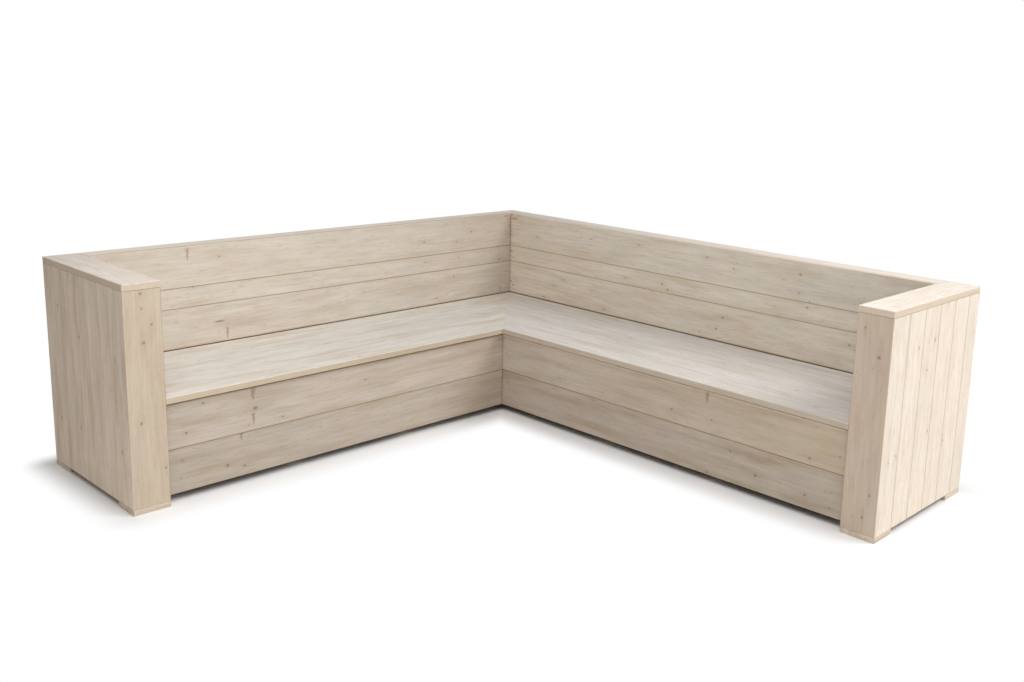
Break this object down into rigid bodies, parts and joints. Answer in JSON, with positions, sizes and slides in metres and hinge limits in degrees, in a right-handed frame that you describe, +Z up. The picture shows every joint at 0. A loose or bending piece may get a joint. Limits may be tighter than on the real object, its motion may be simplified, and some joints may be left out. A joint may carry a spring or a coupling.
{
  "type": "corner lounge bench",
  "caption": "L-shaped corner lounge bench of pale planed boards, with a mitred board seat, a boarded back, a closed fascia and a box arm at each free end.",
  "frame": {"origin": "on the floor under the centre of the footprint box", "axes": "+X along the long wing towards its arm, +Y towards the back of the long wing, +Z up"},
  "size_m": [3, 2.8, 0.958],
  "materials": {
    "seat_wood": "planed softwood boards with a thin white stain, satin",
    "back_wood": "planed softwood boards with a thin white stain, satin",
    "fascia_wood": "planed softwood boards with a thin white stain, satin",
    "arm_wood": "planed softwood boards with a thin white stain, satin",
    "foot_wood": "planed softwood, bare",
    "frame_wood": "sawn softwood, bare",
    "screw_steel": "zinc-plated steel, satin"
  },
  "bodies": {
    "root": {"long_back_upper_board": "back_wood", "long_back_middle_board": "back_wood", "long_back_lower_board": "back_wood", "long_top_cap": "back_wood", "long_rear_boards": "back_wood", "long_seat_board_1": "seat_wood", "long_seat_board_2": "seat_wood", "long_seat_board_3": "seat_wood", "long_seat_board_4": "seat_wood", "long_seat_board_5": "seat_wood", "long_fascia_upper_board": "fascia_wood", "long_fascia_lower_board": "fascia_wood", "long_back_rail": "frame_wood", "long_front_rail": "frame_wood", "short_back_upper_board": "back_wood", "short_back_middle_board": "back_wood", "short_back_lower_board": "back_wood", "short_top_cap": "back_wood", "short_rear_boards": "back_wood", "short_seat_board_1": "seat_wood", "short_seat_board_2": "seat_wood", "short_seat_board_3": "seat_wood", "short_seat_board_4": "seat_wood", "short_seat_board_5": "seat_wood", "short_fascia_upper_board": "fascia_wood", "short_fascia_lower_board": "fascia_wood", "short_back_rail": "frame_wood", "short_front_rail": "frame_wood", "back_posts": "frame_wood", "seat_bearers": "frame_wood", "fascia_battens": "frame_wood", "seat_legs": "frame_wood", "long_arm_top_board": "arm_wood", "long_arm_front_board": "arm_wood", "long_arm_side_board_1": "arm_wood", "long_arm_side_board_2": "arm_wood", "long_arm_side_board_3": "arm_wood", "long_arm_side_board_4": "arm_wood", "long_arm_side_board_5": "arm_wood", "long_arm_side_board_6": "arm_wood", "long_arm_inner_upper_board": "arm_wood", "long_arm_inner_middle_board": "arm_wood", "long_arm_inner_lower_board": "arm_wood", "short_arm_top_board": "arm_wood", "short_arm_front_board": "arm_wood", "short_arm_side_board_1": "arm_wood", "short_arm_side_board_2": "arm_wood", "short_arm_side_board_3": "arm_wood", "short_arm_side_board_4": "arm_wood", "short_arm_side_board_5": "arm_wood", "short_arm_side_board_6": "arm_wood", "short_arm_inner_upper_board": "arm_wood", "short_arm_inner_middle_board": "arm_wood", "short_arm_inner_lower_board": "arm_wood", "arm_posts": "frame_wood", "arm_rails": "frame_wood", "arm_feet": "foot_wood", "post_feet": "foot_wood", "seat_screws": "screw_steel", "foot_screws": "screw_steel"}
  },
  "joints": []
}
